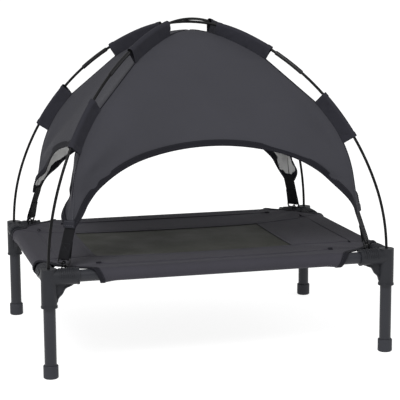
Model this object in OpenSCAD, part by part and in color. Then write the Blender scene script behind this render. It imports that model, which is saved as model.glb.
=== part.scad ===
// Raised pet bed: tube frame in four corner brackets, stretched fabric lying surface with a mesh
// centre, and a lift-off dome canopy on two crossed rod hoops.
// Millimetres. Origin on the floor under the middle, +X along the long side, -Y the front, +Z up.

/* [Frame] */
// Distance between the leg axes along the long side
leg_span_x = 584; // [500:1:760]
// Distance between the leg axes along the short side
leg_span_y = 434; // [380:1:610]
// Outer diameter of the leg and rail tubes
tube_d = 20; // [18:0.5:22]
// Wall of the leg and rail tubes
tube_wall = 1.4; // [1:0.1:2]
// Height of the rail axes above the floor
rail_z = 168; // [150:1:220]

/* [Corner brackets] */
// Outer diameter of the upright socket
socket_d = 26; // [25:0.5:30]
// Height of the bracket's top face
bracket_top = 182; // [182:1:240]
// Length of the upright socket
socket_len = 64; // [56:1:90]
// Outer diameter of the two horizontal arms
arm_d = 26.6; // [25:0.1:30]
// Length of each arm from the leg axis
arm_len = 49.5; // [46:0.5:56]
// Number of grip ribs round the top of each arm
rib_count = 8; // [4:1:9]

/* [Feet] */
// Outer diameter of the foot caps
foot_d = 25; // [23:0.5:34]
// Height of the foot caps
foot_h = 22; // [14:1:40]

/* [Lying surface] */
// Thickness of the stretched fabric
bed_fabric_t = 2.4; // [1.5:0.1:3]
// Wall of the fabric tunnels round the rails
tunnel_wall = 1.5; // [1:0.1:2]
// Mesh panel, length along X
mesh_x = 352; // [200:1:420]
// Mesh panel, width along Y
mesh_y = 212; // [120:1:300]
// Mesh panel, shift of its middle along X
mesh_shift = -18; // [-30:1:30]
// Corner cut of the fabric, along the long rail
cut_x = 66; // [60:1:90]
// Corner cut of the fabric, along the short rail
cut_y = 70; // [60:1:90]

/* [Hoops] */
// Height of the lower hoop's axis at the crossing
hoop_top = 564.4; // [540:0.1:600]
// Rod diameter
rod_d = 4.8; // [4:0.1:6]
// Ferrule outer diameter
ferrule_d = 7.4; // [7:0.1:9]
// Ferrule length
ferrule_len = 58; // [40:1:70]

/* [Canopy] */
// Height of the fabric at its middle
canopy_top = 550; // [530:1:552]
// Thickness of the panels
panel_t = 1.5; // [1:0.1:2.5]
// Rise of the front and back arches above the tail ends
front_rise = 121; // [80:1:140]
// Rise of the side arches above the tail ends
side_rise = 105; // [80:1:130]
// Width of the straps and of the tail ends
strap_w = 24; // [20:1:30]
// Thickness of the straps
strap_t = 2; // [1.5:0.1:3]

/* [Hidden] */
$fn = 48;
leg_x = leg_span_x / 2;
leg_y = leg_span_y / 2;
diag = sqrt(leg_x * leg_x + leg_y * leg_y);
ux = leg_x / diag;
uy = leg_y / diag;
corner_angle = atan2(leg_y, leg_x);
tube_r = tube_d / 2;
rod_r = rod_d / 2;
fit = 0.15;
socket_z = bracket_top - socket_len;
// the leg bore stops below the rod hole
leg_bore_top = rail_z - 12;
rod_hole_d = rod_d + 0.6;
rod_tip_z = rail_z - 7;
hoop_z0 = bracket_top - 7;
fabric_r = tube_r + tunnel_wall + fit;
sheet_top = rail_z + fabric_r;

CORNERS = [["fl", -1, -1], ["fr", 1, -1], ["bl", -1, 1], ["br", 1, 1]];
HOOPS = [["a", "bl", "fr", 0], ["b", "fl", "br", rod_d + 0.1]];

// ---- two tangent arcs that span a known width and rise --------------------
// A quarter arch turns through a, then on to e. The two radii follow from its half width and rise.
function arch_radii(half, rise, a, e) =
    let (
        m11 = sin(a), m12 = sin(e) - sin(a),
        m21 = 1 - cos(a), m22 = cos(a) - cos(e),
        det = m11 * m22 - m12 * m21
    )
    [(half * m22 - rise * m12) / det, (rise * m11 - half * m21) / det];

// ---- hoop: three tangent arcs in the diagonal plane, heading 0 upright to 90 level ----
hoop_turn = [0, 19.7, 67.2, 90];
hoop_mid_r = 437;
function hoop_radii(top) =
    let (
        a = hoop_turn[1], b = hoop_turn[2],
        m11 = 1 - cos(a), m12 = cos(b), m21 = sin(a), m22 = 1 - sin(b),
        rr = diag - hoop_mid_r * (cos(a) - cos(b)),
        rz = top - hoop_z0 - hoop_mid_r * (sin(b) - sin(a)),
        det = m11 * m22 - m12 * m21
    )
    [(rr * m22 - m12 * rz) / det, hoop_mid_r, (m11 * rz - rr * m21) / det];
function polar(r, a) = [r * cos(a), r * sin(a)];
function hoop_centres(top) =
    let (
        rr = hoop_radii(top),
        c0 = [diag - rr[0], hoop_z0],
        c1 = c0 + polar(rr[0] - rr[1], hoop_turn[1]),
        c2 = c1 + polar(rr[1] - rr[2], hoop_turn[2])
    )
    [c0, c1, c2];
function deg(len, r) = len / r * 180 / PI;
// heading of the hoop at a length s from its upright start
function heading(s) =
    let (
        rr = hoop_radii(hoop_top),
        s1 = rr[0] * hoop_turn[1] * PI / 180,
        s2 = s1 + rr[1] * (hoop_turn[2] - hoop_turn[1]) * PI / 180
    )
    s < s1 ? deg(s, rr[0])
    : s < s2 ? hoop_turn[1] + deg(s - s1, rr[1])
    : hoop_turn[2] + deg(s - s2, rr[2]);
ferrule_at = 381;
ferrule_h0 = heading(ferrule_at - ferrule_len / 2);
ferrule_h1 = heading(ferrule_at + ferrule_len / 2);
section_h0 = heading(ferrule_at - 0.5);
section_h1 = heading(ferrule_at + 0.5);

// ---- ridge of the canopy fabric in the diagonal plane, from the tail end to the middle ----
tail_end = [313.5, 243];
ridge_turn = [9.4, 38.8, 70.5, 90];
ridge_r = [206, 440];
tail_straight = 62;
ridge_start = tail_end + tail_straight * [-sin(ridge_turn[0]), cos(ridge_turn[0])];
function ridge_step(p, r, h0, h1) = p + r * [cos(h1) - cos(h0), sin(h1) - sin(h0)];
ridge_p1 = ridge_step(ridge_start, ridge_r[0], ridge_turn[0], ridge_turn[1]);
ridge_p2 = ridge_step(ridge_p1, ridge_r[1], ridge_turn[1], ridge_turn[2]);
// the last stretch closes level at the middle
ridge_last = [ridge_p2[0] / cos(ridge_turn[2]), (canopy_top - ridge_p2[1]) / (1 - sin(ridge_turn[2]))];
ARC_STEPS = 7;
// each entry is [r, z, heading]
function ridge_arc(p, r, h0, h1) = [
    for (i = [1:ARC_STEPS])
        let (h = h0 + (h1 - h0) * i / ARC_STEPS, q = ridge_step(p, r, h0, h)) [q[0], q[1], h]
];
ridge = concat(
    [[tail_end[0], tail_end[1], ridge_turn[0]], [ridge_start[0], ridge_start[1], ridge_turn[0]]],
    ridge_arc(ridge_start, ridge_r[0], ridge_turn[0], ridge_turn[1]),
    ridge_arc(ridge_p1, ridge_r[1], ridge_turn[1], ridge_turn[2]),
    [
        for (i = [1:ARC_STEPS])
            let (h = ridge_turn[2] + (90 - ridge_turn[2]) * i / ARC_STEPS)
            [
                ridge_last[0] * cos(h),
                canopy_top - ridge_last[1] * (1 - sin(h)),
                h
            ]
    ]
);
// a panel's section: the ridge seen square on, k times as wide
function panel_outer(k) = [for (p = ridge) [k * p[0], p[1]]];
function panel_inner(k) = [
    for (i = [len(ridge) - 1:-1:0])
        let (p = ridge[i], n = [cos(p[2]), k * sin(p[2])])
        [k * p[0], p[1]] - panel_t * n / norm(n)
];
tail_top_z = 275;
front_arch_turn = [15.5, 64.6];
side_arch_turn = [20, 62];
front_half = ux * tail_end[0] - uy * strap_w / 2;
side_half = uy * tail_end[0] - ux * strap_w / 2;

// ---- placing helpers --------------------------------------------------------
function sign_x(c) = CORNERS[search([c], CORNERS)[0]][1];
function sign_y(c) = CORNERS[search([c], CORNERS)[0]][2];
// local frame at a leg axis, +X and +Y pointing along the arms towards the middle
module at_leg(sx, sy) {
    translate([sx * leg_x, sy * leg_y, 0])
        mirror([sx > 0 ? 1 : 0, 0, 0])
            mirror([0, sy > 0 ? 1 : 0, 0])
                children();
}
// local frame in a diagonal plane, +X pointing outwards to the corner
module in_diagonal(sx, sy) {
    rotate([0, 0, atan2(sy * leg_y, sx * leg_x)]) children();
}
// a bar of the child's 2-D section, bent round c at radius r from heading h0 to h1
module bent(c, h0, h1) {
    rotate([90, 0, 0])
        translate([c[0], c[1], 0])
            rotate([0, 0, h0])
                rotate_extrude(angle = h1 - h0)
                    children();
}
// one arc of a hoop between two headings, as a bar of the child's 2-D section drawn at its radius
module hoop_arc(top, i, h0, h1) {
    bent(hoop_centres(top)[i], h0, h1)
        translate([hoop_radii(top)[i], 0])
            children();
}
// Short sleeve joint where two arcs of a rod meet. The arcs stop just short of each other inside it.
joint_len = 4;
joint_gap = 0.3;
joint_r = rod_r + 0.08;
function hoop_point(top, i, h) = hoop_centres(top)[i] + polar(hoop_radii(top)[i], h);
module rod_joint(p, h) {
    translate([p[0], 0, p[1]])
        rotate([0, -h, 0])
            cylinder(h = joint_len, r = joint_r, center = true);
}
function short_of(top, i) = deg(joint_gap, hoop_radii(top)[i]);

// ---- frame ------------------------------------------------------------------
// Lower edge of the stiffening web under the long arm: a hollow arc with a double wave
WEB_STEPS = 10;
web_lo = [socket_d / 2 + 0.8, socket_z + 8.5];
web_hi = [arm_len - 8, rail_z - 12];
web_hollow = 4.4;
web_wave = 1.1;
function web_edge(inset) = [
    for (i = [0:WEB_STEPS])
        let (
            t = i / WEB_STEPS,
            chord = web_hi - web_lo,
            n = [-chord[1], chord[0]] / norm(chord),
            depth = 4 * web_hollow * t * (1 - t) + web_wave * sin(720 * t)
        )
        web_lo + chord * t + n * (depth + inset)
];
module web_plate(inset, t) {
    translate([0, t / 2, 0])
        rotate([90, 0, 0])
            linear_extrude(t)
                polygon(concat(
                    [[0, rail_z], [0, web_lo[1] + inset]], web_edge(inset), [[web_hi[0] - inset, rail_z]]
                ));
}
web_t = 6;
web_rim = 2.6;
web_pocket = 1.4;
module web() {
    difference() {
        web_plate(0, web_t);
        for (s = [-1, 1])
            translate([0, s * web_t / 2, 0]) web_plate(web_rim, 2 * web_pocket);
    }
}
rib_pitch = 3.4;
rib_h = 1.1;
rib_start = socket_d / 2 + 4;
rib_root = 1;
collar_w = 3;
collar_h = 0.8;
// one horizontal arm along +X, ribbed over its upper half, with a collar at its mouth
module arm() {
    translate([0, 0, rail_z])
        rotate([0, 90, 0])
            cylinder(h = arm_len, d = arm_d);
    translate([arm_len - collar_w, 0, rail_z])
        rotate([0, 90, 0])
            cylinder(h = collar_w, d = arm_d + 2 * collar_h);
    for (i = [0:rib_count - 1])
        translate([rib_start + i * rib_pitch, 0, rail_z])
            rotate([90, 0, 90])
                rotate_extrude(angle = 180)
                    translate([arm_d / 2 - rib_root, 0]) square([rib_root + rib_h, rib_pitch / 2]);
}
// hook peg that holds the canopy's elastic loop, inside and under the long arm
peg_off = 32.3;
peg_z = rail_z - 13;
peg_r = 2.2;
peg_root = 21;
peg_tip = 5;
knob_r = peg_r + 1;
module loop_peg() {
    translate([peg_off * ux, peg_off * uy, peg_z])
        rotate([0, 0, -90 + corner_angle]) {
            translate([-peg_tip, 0, 0]) rotate([0, 90, 0]) cylinder(h = peg_root + peg_tip, r = peg_r);
            translate([-peg_tip, 0, 0]) sphere(r = knob_r);
        }
}
module corner_bracket(c) {
    color([0.21, 0.22, 0.23])
        at_leg(sign_x(c), sign_y(c))
            difference() {
                union() {
                    translate([0, 0, socket_z]) cylinder(h = socket_len, d = socket_d);
                    translate([0, 0, socket_z]) cylinder(h = collar_w, d = socket_d + 2 * collar_h);
                    arm();
                    mirror([1, -1, 0]) arm();
                    web();
                    mirror([1, -1, 0]) web();
                    loop_peg();
                }
                translate([0, 0, socket_z - 1]) cylinder(h = leg_bore_top - socket_z + 1, r = tube_r + fit);
                translate([0, 0, rod_tip_z - 0.5]) cylinder(h = bracket_top, d = rod_hole_d);
                for (m = [0, 1])
                    mirror([m, -m, 0])
                        translate([socket_d / 2 + 1.5, 0, rail_z])
                            rotate([0, 90, 0])
                                cylinder(h = arm_len, r = tube_r + fit);
            }
}
module tube(len, r, wall) {
    difference() {
        cylinder(h = len, r = r);
        translate([0, 0, -1]) cylinder(h = len + 2, r = r - wall);
    }
}
foot_floor = 4;
module leg_tube(c) {
    color([0.23, 0.24, 0.26])
        translate([sign_x(c) * leg_x, sign_y(c) * leg_y, foot_floor + 0.1])
            tube(leg_bore_top - foot_floor - 0.3, tube_r, tube_wall);
}
module foot_cap(c) {
    color([0.19, 0.19, 0.21])
        translate([sign_x(c) * leg_x, sign_y(c) * leg_y, 0])
            difference() {
                rotate_extrude()
                    polygon([
                        [0, 0], [foot_d / 2 - 1.5, 0], [foot_d / 2, 1.5],
                        [foot_d / 2, foot_h - 1.2], [foot_d / 2 - 1.2, foot_h], [0, foot_h]
                    ]);
                translate([0, 0, foot_floor]) cylinder(h = foot_h, r = tube_r + fit / 3);
            }
}
rail_gap = socket_d / 2 + 2;
module long_rail(sy) {
    color([0.27, 0.28, 0.30])
        translate([-(leg_x - rail_gap), sy * leg_y, rail_z])
            rotate([0, 90, 0])
                tube(2 * (leg_x - rail_gap), tube_r, tube_wall);
}
module short_rail(sx) {
    color([0.27, 0.28, 0.30])
        translate([sx * leg_x, leg_y - rail_gap, rail_z])
            rotate([90, 0, 0])
                tube(2 * (leg_y - rail_gap), tube_r, tube_wall);
}

// ---- lying surface --------------------------------------------------------------
// hollow corner of the sheet, from the short rail to the long rail or the other way round
notch = [[0, cut_y], [15.5, 54], [22, 34], [38, 24], [55, 15.5], [cut_x, 0]];
function corner_notch(sx, sy, from_long) = [
    for (i = [0:len(notch) - 1])
        let (p = notch[from_long ? len(notch) - 1 - i : i])
        [sx * (leg_x - p[0]), sy * (leg_y - p[1])]
];
module bed_fabric() {
    tunnel_x = leg_x - cut_x;
    tunnel_y = leg_y - cut_y;
    color([0.29, 0.29, 0.33])
        difference() {
            union() {
                for (s = [-1, 1]) {
                    translate([-tunnel_x, s * leg_y, rail_z])
                        rotate([0, 90, 0]) cylinder(h = 2 * tunnel_x, r = fabric_r);
                    translate([s * leg_x, tunnel_y, rail_z])
                        rotate([90, 0, 0]) cylinder(h = 2 * tunnel_y, r = fabric_r);
                }
                translate([0, 0, sheet_top - bed_fabric_t])
                    linear_extrude(bed_fabric_t)
                        polygon(concat(
                            corner_notch(1, 1, false), corner_notch(-1, 1, true),
                            corner_notch(-1, -1, false), corner_notch(1, -1, true)
                        ));
            }
            for (s = [-1, 1]) {
                translate([-leg_x, s * leg_y, rail_z])
                    rotate([0, 90, 0]) cylinder(h = 2 * leg_x, r = tube_r + fit);
                translate([s * leg_x, leg_y, rail_z])
                    rotate([90, 0, 0]) cylinder(h = 2 * leg_y, r = tube_r + fit);
            }
            translate([mesh_shift - mesh_x / 2, -mesh_y / 2, 0])
                cube([mesh_x, mesh_y, 2 * rail_z]);
        }
}
module mesh_panel() {
    gap = 0.05;
    color([0.24, 0.25, 0.22])
        translate([mesh_shift - mesh_x / 2 + gap, -mesh_y / 2 + gap, sheet_top - 1.8])
            cube([mesh_x - 2 * gap, mesh_y - 2 * gap, 1.2]);
}

// ---- hoops ----------------------------------------------------------------------
function hoop_top_of(h) = hoop_top + h[3];
module hoop_end(c, top) {
    color([0.07, 0.07, 0.08])
        in_diagonal(sign_x(c), sign_y(c)) {
            translate([diag, 0, rod_tip_z]) cylinder(h = hoop_z0 - joint_gap - rod_tip_z, r = rod_r);
            rod_joint([diag, hoop_z0], 0);
            hoop_arc(top, 0, short_of(top, 0), hoop_turn[1] - short_of(top, 0)) circle(r = rod_r);
            rod_joint(hoop_point(top, 0, hoop_turn[1]), hoop_turn[1]);
            hoop_arc(top, 1, hoop_turn[1] + short_of(top, 1), section_h0) circle(r = rod_r);
        }
}
module hoop_middle(h) {
    top = hoop_top_of(h);
    color([0.07, 0.07, 0.08])
        in_diagonal(sign_x(h[2]), sign_y(h[2])) {
            hoop_arc(top, 2, hoop_turn[2] + short_of(top, 2), 180 - hoop_turn[2] - short_of(top, 2))
                circle(r = rod_r);
            for (m = [0, 1])
                mirror([m, 0, 0]) {
                    rod_joint(hoop_point(top, 2, hoop_turn[2]), hoop_turn[2]);
                    hoop_arc(top, 1, section_h1, hoop_turn[2] - short_of(top, 1)) circle(r = rod_r);
                }
        }
}
module ferrule(c, top) {
    color([0.12, 0.12, 0.13])
        in_diagonal(sign_x(c), sign_y(c))
            hoop_arc(top, 1, ferrule_h0, ferrule_h1)
                difference() {
                    circle(d = ferrule_d);
                    circle(r = rod_r + 0.05);
                }
}

// ---- canopy ---------------------------------------------------------------------
reach = 2 * diag;
seam_gap = 0.1;
// plan wedge of one panel, k_out the share of the diagonal square to the panel, k_side along it
module wedge(k_out, k_side) {
    far = -reach * k_out - seam_gap;
    linear_extrude(reach)
        polygon([[0, -seam_gap], [-reach * k_side, far], [reach * k_side, far]]);
}
ARCH_STEPS = 8;
function arch_side(half, rise, turn) =
    let (
        rr = arch_radii(half, rise, turn[0], turn[1]),
        q = [rr[0] * sin(turn[0]), -rr[0] * (1 - cos(turn[0]))]
    )
    concat(
        [
            for (i = [0:ARCH_STEPS])
                let (a = turn[0] * i / ARCH_STEPS)
                [rr[0] * sin(a), -rr[0] * (1 - cos(a))]
        ],
        [
            for (i = [1:ARCH_STEPS])
                let (a = turn[0] + (turn[1] - turn[0]) * i / ARCH_STEPS)
                q + rr[1] * [sin(a) - sin(turn[0]), cos(a) - cos(turn[0])]
        ]
    );
module arch_cut(half, rise, turn) {
    right = [for (p = arch_side(half, rise, turn)) [p[0], p[1] + tail_end[1] + rise]];
    left = [for (i = [len(right) - 1:-1:1]) [-right[i][0], right[i][1]]];
    rotate([90, 0, 0])
        linear_extrude(reach, center = true)
            polygon(concat([[-half, 0]], left, right, [[half, 0]]));
}
// a panel facing -Y, as wide as the wedge between two hoops
module panel(k_out, k_side, half, rise, turn) {
    difference() {
        intersection() {
            rotate([90, 0, 90])
                linear_extrude(reach, center = true)
                    polygon([
                        for (p = concat(panel_outer(k_out), panel_inner(k_out))) [-p[0], p[1]]
                    ]);
            wedge(k_out, k_side);
        }
        arch_cut(half, rise, turn);
        translate([-reach, -reach, 0]) cube([2 * reach, reach, tail_top_z]);
    }
}
module long_panel(sy) {
    color([0.26, 0.26, 0.28])
        rotate([0, 0, sy < 0 ? 0 : 180])
            panel(uy, ux, front_half, front_rise, front_arch_turn);
}
module short_panel(sx) {
    color([0.25, 0.25, 0.27])
        rotate([0, 0, sx < 0 ? -90 : 90])
            panel(ux, uy, side_half, side_rise, side_arch_turn);
}
// sleeve: a tunnel round the rod with a flap down to the ridge, bent as one arc over its span
sleeve_r = 5.2;
sleeve_bore = 3.4;
flap_t = 2.4;
upper_sleeve = [420, 528, 16];
lower_sleeve = [208, 299, 18.5];
function hoop_at(top, h) =
    let (i = h < hoop_turn[1] ? 0 : h < hoop_turn[2] ? 1 : 2)
    hoop_point(top, i, h);
module sleeve(c, top, span) {
    h0 = heading(span[0]);
    h1 = heading(span[1]);
    p0 = hoop_at(top, h0);
    p1 = hoop_at(top, h1);
    chord = p1 - p0;
    r = norm(chord) / 2 / sin((h1 - h0) / 2);
    mid = atan2(-chord[0], chord[1]);
    centre = (p0 + p1) / 2 - polar(r * cos((h1 - h0) / 2), mid);
    a0 = mid - (h1 - h0) / 2;
    a1 = mid + (h1 - h0) / 2;
    color([0.22, 0.22, 0.25])
        in_diagonal(sign_x(c), sign_y(c))
            difference() {
                union() {
                    bent(centre, a0, a1) translate([r, 0]) circle(r = sleeve_r);
                    bent(centre, a0, a1) translate([r - span[2], -flap_t / 2]) square([span[2], flap_t]);
                }
                bent(centre, a0 - 1, a1 + 1) translate([r, 0]) circle(r = sleeve_bore);
            }
}
// corner tail: both panels run down into one flat band that faces the corner
tail_t = 2.4;
tail_top_r = tail_end[0] - (tail_top_z - tail_end[1]) * tan(ridge_turn[0]);
// half width of an arch at the tails' top
function arch_at_tail(half, rise, turn) =
    lookup(
        rise - (tail_top_z - tail_end[1]),
        [for (p = arch_side(half, rise, turn)) [-p[1], p[0]]]
    );
tail_front_w = (ux * tail_top_r - arch_at_tail(front_half, front_rise, front_arch_turn)) - 0.5;
tail_side_w = (uy * tail_top_r - arch_at_tail(side_half, side_rise, side_arch_turn)) - 0.5;
// side is +1 on the left of the outward direction; away is the panel's angle from that direction
module tail_half(side, width, away) {
    hull() {
        translate([tail_end[0] - tail_t, side > 0 ? 0 : -strap_w / 2, tail_end[1]])
            cube([tail_t, strap_w / 2, 1]);
        translate([tail_top_r, 0, tail_top_z - 1])
            rotate([0, 0, 180 - side * away])
                translate([0, side > 0 ? 0 : -tail_t, 0])
                    cube([width, tail_t, 0.9]);
    }
}
module corner_tail(c) {
    sx = sign_x(c);
    sy = sign_y(c);
    // the long panel lies on the side of the outward direction that turns towards it
    long_side = sx * sy > 0 ? -1 : 1;
    color([0.22, 0.22, 0.25])
        in_diagonal(sx, sy) {
            tail_half(-long_side, tail_side_w, 90 - corner_angle);
            tail_half(long_side, tail_front_w, corner_angle);
        }
}
// strap, its ring and the elastic loop, all in the diagonal plane
strap_top = tail_end - [0.2 + strap_t / 2, 0.3 + strap_t / 2];
strap_end = [326.5, 192];
strap_lean = atan2(strap_end[0] - strap_top[0], strap_top[1] - strap_end[1]);
strap_len = norm(strap_end - strap_top);
module along_strap() {
    translate([strap_top[0], 0, strap_top[1]])
        rotate([0, -strap_lean, 0])
            children();
}
module strap(c) {
    color([0.12, 0.12, 0.14])
        in_diagonal(sign_x(c), sign_y(c))
            along_strap() {
                // rolled end that the strap swings on
                rotate([90, 0, 0]) cylinder(h = strap_w, r = strap_t / 2, center = true);
                translate([-strap_t / 2, -strap_w / 2, -strap_len])
                    cube([strap_t, strap_w, strap_len]);
            }
}
ring_bar = 3;
ring_h = 12;
ring_w = strap_w + 4.6;
// clearance of the strap's end in the ring's upper slot
slot_fit = 0.1;
slot_t = strap_t + 2 * slot_fit;
slot_w = strap_w + 2 * slot_fit;
ring_side = (ring_w - slot_w) / 2;
module strap_ring(c) {
    color([0.16, 0.16, 0.17])
        in_diagonal(sign_x(c), sign_y(c))
            along_strap()
                translate([-ring_bar / 2, -ring_w / 2, -strap_len - ring_h + ring_bar + slot_fit])
                    difference() {
                        cube([ring_bar, ring_w, ring_h]);
                        translate([-1, ring_side, ring_bar])
                            cube([ring_bar + 2, ring_w - 2 * ring_side, ring_h - 2 * ring_bar]);
                        // the strap's end fills the upper slot
                        translate([
                            (ring_bar - slot_t) / 2, (ring_w - slot_w) / 2, ring_h - ring_bar - slot_fit
                        ])
                            cube([slot_t, slot_w, ring_bar + 1]);
                    }
}
loop_r = 1.2;
loop_half = 3.7;
loop_low = [diag - peg_off, peg_z];
loop_drop = strap_len + ring_h - ring_bar * 1.5 - slot_fit;
loop_high = strap_top + loop_drop * [sin(strap_lean), -cos(strap_lean)];
module elastic_loop(c) {
    run = loop_low - loop_high;
    len = norm(run);
    lean = atan2(run[0], -run[1]);
    color([0.05, 0.05, 0.05])
        in_diagonal(sign_x(c), sign_y(c))
            translate([loop_high[0], 0, loop_high[1]])
                rotate([0, -lean, 0]) {
                    for (s = [-1, 1])
                        translate([s * loop_half, 0, -len]) cylinder(h = len, r = loop_r, $fn = 24);
                    bent([0, 0], 0, 180) translate([loop_half, 0]) circle(r = loop_r, $fn = 24);
                    translate([0, 0, -len])
                        bent([0, 0], 180, 360) translate([loop_half, 0]) circle(r = loop_r, $fn = 24);
                }
}

for (c = CORNERS) {
    name = c[0];
    top = hoop_top_of(name == "bl" || name == "fr" ? HOOPS[0] : HOOPS[1]);
    corner_bracket(name);
    leg_tube(name);
    foot_cap(name);
    ferrule(name, top);
    sleeve(name, top, upper_sleeve);
    sleeve(name, top, lower_sleeve);
    corner_tail(name);
    strap(name);
    strap_ring(name);
    elastic_loop(name);
}
for (h = HOOPS) {
    hoop_middle(h);
    hoop_end(h[1], hoop_top_of(h));
    hoop_end(h[2], hoop_top_of(h));
}
long_rail(-1);  // long_rail_front
long_rail(1);  // long_rail_back
short_rail(-1);  // short_rail_left
short_rail(1);  // short_rail_right
bed_fabric();
mesh_panel();
long_panel(-1);  // canopy_front
long_panel(1);  // canopy_back
short_panel(-1);  // canopy_left
short_panel(1);  // canopy_right
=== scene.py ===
"""Looks of the raised dog bed with its dome canopy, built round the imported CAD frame.
Metres. +Z up, -Y is the front, origin on the floor under the middle."""
import math
import random

import bmesh
import bpy
import numpy as np
from mathutils import Matrix, Vector


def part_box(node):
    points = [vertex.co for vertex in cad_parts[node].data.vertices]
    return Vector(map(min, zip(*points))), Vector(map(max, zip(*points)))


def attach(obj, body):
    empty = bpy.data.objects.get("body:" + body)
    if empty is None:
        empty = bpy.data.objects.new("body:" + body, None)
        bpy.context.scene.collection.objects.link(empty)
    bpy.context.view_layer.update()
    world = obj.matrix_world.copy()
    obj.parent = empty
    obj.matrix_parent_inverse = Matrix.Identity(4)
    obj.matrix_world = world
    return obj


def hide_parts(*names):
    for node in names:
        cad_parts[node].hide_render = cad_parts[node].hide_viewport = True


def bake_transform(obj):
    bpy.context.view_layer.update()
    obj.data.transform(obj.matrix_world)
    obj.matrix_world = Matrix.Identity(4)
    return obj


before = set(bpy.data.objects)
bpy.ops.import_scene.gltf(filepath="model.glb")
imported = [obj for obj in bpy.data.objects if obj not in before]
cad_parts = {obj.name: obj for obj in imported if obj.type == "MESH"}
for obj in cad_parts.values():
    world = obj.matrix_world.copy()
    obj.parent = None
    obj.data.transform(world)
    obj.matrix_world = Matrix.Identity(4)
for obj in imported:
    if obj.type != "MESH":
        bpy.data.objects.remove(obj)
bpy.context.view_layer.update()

# ---- driving dimensions, from the frame ------------------------------------------
UP = np.array([0.0, 0.0, 1.0])
CORNERS = {"fl": (-1, -1), "fr": (1, -1), "bl": (-1, 1), "br": (1, 1)}


def middle(node):
    low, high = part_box(node)
    return (low + high) / 2


LEG_X = abs(middle("leg_tube_fl").x)
LEG_Y = abs(middle("leg_tube_fl").y)
DIAG = math.hypot(LEG_X, LEG_Y)
UX, UY = LEG_X / DIAG, LEG_Y / DIAG
RAIL_Z = middle("long_rail_front").z
SHEET_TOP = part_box("bed_fabric")[1].z
FABRIC_R = SHEET_TOP - RAIL_Z
MESH_LOW, MESH_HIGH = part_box("mesh_panel")
CANOPY_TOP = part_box("canopy_front")[1].z
TAIL_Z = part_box("corner_tail_fl")[0].z
ROD_R = 0.0024
HOOP_TOP = {"a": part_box("hoop_a_middle")[1].z - ROD_R, "b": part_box("hoop_b_middle")[1].z - ROD_R}
HOOP_OF = {"fl": "b", "br": "b", "fr": "a", "bl": "a"}


def smooth(x, start, end):
    """0 at start, 1 at end, level at both."""
    t = np.clip((np.asarray(x, float) - start) / (end - start), 0, 1)
    return t * t * (3 - 2 * t)


def run_along(path):
    """Running length at each point of a path."""
    return np.concatenate([[0], np.cumsum(np.linalg.norm(np.diff(path, axis=0), axis=1))])


def diagonal(corner):
    """Outward direction of a corner and the direction to its left."""
    sx, sy = CORNERS[corner]
    out = np.array([sx * UX, sy * UY, 0.0])
    return out, np.array([-out[1], out[0], 0.0])


def in_diagonal(corner, r, z, side=0.0):
    """Points of a corner's diagonal plane, side metres to its left."""
    out, left = diagonal(corner)
    r, z, side = np.broadcast_arrays(r, z, side)
    return r[..., None] * out + z[..., None] * UP + side[..., None] * left


# ---- curves: hoop, ridge and arches ------------------------------------------------
HOOP_Z0 = 0.175
HOOP_TURN = np.radians([0, 19.7, 67.2, 90])
HOOP_MID_R = 0.437


def hoop_curve(top, steps=400):
    """Running length, r, z and heading of a hoop, from its upright foot to the crossing."""
    a, b = HOOP_TURN[1], HOOP_TURN[2]
    rr = DIAG - HOOP_MID_R * (math.cos(a) - math.cos(b))
    rz = top - HOOP_Z0 - HOOP_MID_R * (math.sin(b) - math.sin(a))
    first, last = np.linalg.solve(
        [[1 - math.cos(a), math.cos(b)], [math.sin(a), 1 - math.sin(b)]], [rr, rz]
    )
    heading = np.linspace(0, math.pi / 2, steps)
    radius = np.where(heading < a, first, np.where(heading < b, HOOP_MID_R, last))
    step = np.diff(heading)
    mid = (heading[1:] + heading[:-1]) / 2
    width = (radius[1:] + radius[:-1]) / 2
    length = np.concatenate([[0], np.cumsum(width * step)])
    r = DIAG - np.concatenate([[0], np.cumsum(width * step * np.sin(mid))])
    z = HOOP_Z0 + np.concatenate([[0], np.cumsum(width * step * np.cos(mid))])
    return length, r, z, heading


RIDGE_FOOT = (0.3135, TAIL_Z)
RIDGE_TURN = np.radians([9.4, 38.8, 70.5, 90])
RIDGE_STRAIGHT = 0.062
RIDGE_R = (0.206, 0.440)
# radii between which the cloth is pulled straight from one sleeve to the next
RIDGE_TAUT = (0.2346, 0.1453)


def ridge_curve(steps=120):
    """Running length, r and z of the canopy's ridge, from the tail's end to the middle."""
    def arc(start, radius, h0, h1):
        h = np.linspace(h0, h1, steps)
        turn = np.stack([np.cos(h) - math.cos(h0), np.sin(h) - math.sin(h0)], 1)
        return np.array(start) + radius * turn

    h0 = RIDGE_TURN[0]
    t = np.linspace(0, RIDGE_STRAIGHT, steps)[:, None]
    runs = [np.array(RIDGE_FOOT) + t * np.array([-math.sin(h0), math.cos(h0)])]
    for i in (0, 1):
        runs.append(arc(runs[-1][-1], RIDGE_R[i], RIDGE_TURN[i], RIDGE_TURN[i + 1]))
    # the last stretch closes level at the middle
    r2, z2 = runs[-1][-1]
    h = np.linspace(RIDGE_TURN[2], RIDGE_TURN[3], steps)
    wide = r2 / math.cos(RIDGE_TURN[2])
    high = (CANOPY_TOP - z2) / (1 - math.sin(RIDGE_TURN[2]))
    runs.append(np.stack([wide * np.cos(h), CANOPY_TOP - high * (1 - np.sin(h))], 1))
    path = np.concatenate([runs[0]] + [run[1:] for run in runs[1:]])
    path[-1, 0] = 0
    low, high = (int(np.argmax(path[:, 0] < r)) for r in RIDGE_TAUT)
    t = np.linspace(0, 1, high - low + 1)[:, None]
    path[low:high + 1] = path[low] + t * (path[high] - path[low])
    length = run_along(path)
    return length, path[:, 0], path[:, 1]


RIDGE = ridge_curve()
RIDGE_LEN = RIDGE[0][-1]


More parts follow.
